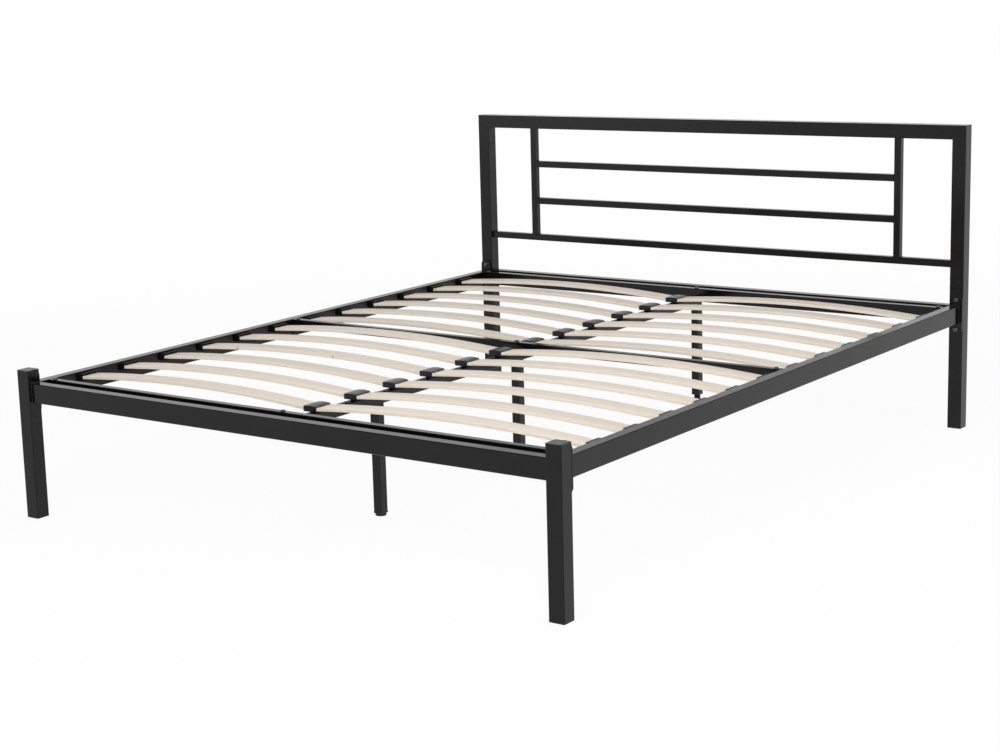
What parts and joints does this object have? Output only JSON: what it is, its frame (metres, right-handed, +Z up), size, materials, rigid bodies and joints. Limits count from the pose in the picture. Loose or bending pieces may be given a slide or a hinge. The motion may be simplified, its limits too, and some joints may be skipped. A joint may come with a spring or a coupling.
{
  "type": "metal bed frame",
  "caption": "Black metal double bed frame with a barred headboard, slatted base, centre beam and screw feet on the centre legs.",
  "frame": {"origin": "on the floor, below the middle of the outline", "axes": "+Z up, +Y towards the headboard, +X to the right as seen from the foot end"},
  "size_m": [1.65, 2.09, 0.86],
  "materials": {
    "black_powder_coat": "gloss black powder coat",
    "birch_ply": "pale birch plywood, satin",
    "black_plastic": "satin moulded plastic",
    "black_bolt": "black coated steel",
    "zinc_steel": "zinc plated"
  },
  "bodies": {
    "root": {"centre_beam": "black_powder_coat", "centre_caps": "black_plastic", "centre_leg_bolts": "black_bolt", "centre_leg_foot": "black_powder_coat", "centre_leg_head": "black_powder_coat", "centre_leg_middle": "black_powder_coat", "centre_leg_plugs": "zinc_steel", "centre_leg_sockets": "black_plastic", "crossbar_bolts": "black_bolt", "crossbar_brackets": "black_powder_coat", "crossbar_nuts": "zinc_steel", "foot_crossbar": "black_powder_coat", "foot_leg_caps": "black_plastic", "foot_leg_left": "black_powder_coat", "foot_leg_right": "black_powder_coat", "foot_rail": "black_powder_coat", "head_crossbar": "black_powder_coat", "headboard_bottom_rail": "black_powder_coat", "headboard_long_bar": "black_powder_coat", "headboard_lower_bar": "black_powder_coat", "headboard_post_left": "black_powder_coat", "headboard_post_right": "black_powder_coat", "headboard_top_rail": "black_powder_coat", "headboard_upper_bar": "black_powder_coat", "headboard_upright_left": "black_powder_coat", "headboard_upright_right": "black_powder_coat", "leg_glides": "black_plastic", "middle_crossbar": "black_powder_coat", "rail_bolt_inserts": "zinc_steel", "rail_bolts": "black_bolt", "side_rail_end_plates": "black_powder_coat", "side_rail_left": "black_powder_coat", "side_rail_right": "black_powder_coat", "slat_holders_left": "black_plastic", "slat_holders_right": "black_plastic", "slat_pair_01": "birch_ply", "slat_pair_02": "birch_ply", "slat_pair_03": "birch_ply", "slat_pair_04": "birch_ply", "slat_pair_05": "birch_ply", "slat_pair_06": "birch_ply", "slat_pair_07": "birch_ply", "slat_pair_08": "birch_ply", "slat_pair_09": "birch_ply", "slat_pair_10": "birch_ply", "slat_pair_11": "birch_ply", "slat_pair_12": "birch_ply"},
    "pad_foot": {"foot_pad_foot": "black_plastic"},
    "screw_foot": {"foot_screw_foot": "black_plastic"},
    "pad_middle": {"foot_pad_middle": "black_plastic"},
    "screw_middle": {"foot_screw_middle": "black_plastic"},
    "pad_head": {"foot_pad_head": "black_plastic"},
    "screw_head": {"foot_screw_head": "black_plastic"}
  },
  "joints": [
    {"name": "pad_foot_travel", "type": "slide", "parent": "root", "child": "pad_foot", "axis": [0, 0, -1], "range_m": [0, 0.025]},
    {"name": "screw_foot_turn", "type": "hinge", "parent": "pad_foot", "child": "screw_foot", "pos_m": [0, -0.613, 0.025], "axis": [0, 0, -1], "range_deg": [0, 3000]},
    {"name": "pad_middle_travel", "type": "slide", "parent": "root", "child": "pad_middle", "axis": [0, 0, -1], "range_m": [-0.019, 0.006]},
    {"name": "screw_middle_turn", "type": "hinge", "parent": "pad_middle", "child": "screw_middle", "pos_m": [0, 0, 0.006], "axis": [0, 0, -1], "range_deg": [-2280, 720]},
    {"name": "pad_head_travel", "type": "slide", "parent": "root", "child": "pad_head", "axis": [0, 0, -1], "range_m": [-0.019, 0.006]},
    {"name": "screw_head_turn", "type": "hinge", "parent": "pad_head", "child": "screw_head", "pos_m": [0, 0.965, 0.006], "axis": [0, 0, -1], "range_deg": [-2280, 720]}
  ],
  "couplings": [
    {"joint": "screw_foot_turn", "follows": "pad_foot_travel", "rad_per_m": 2094.4},
    {"joint": "screw_middle_turn", "follows": "pad_middle_travel", "rad_per_m": 2094.4},
    {"joint": "screw_head_turn", "follows": "pad_head_travel", "rad_per_m": 2094.4}
  ]
}
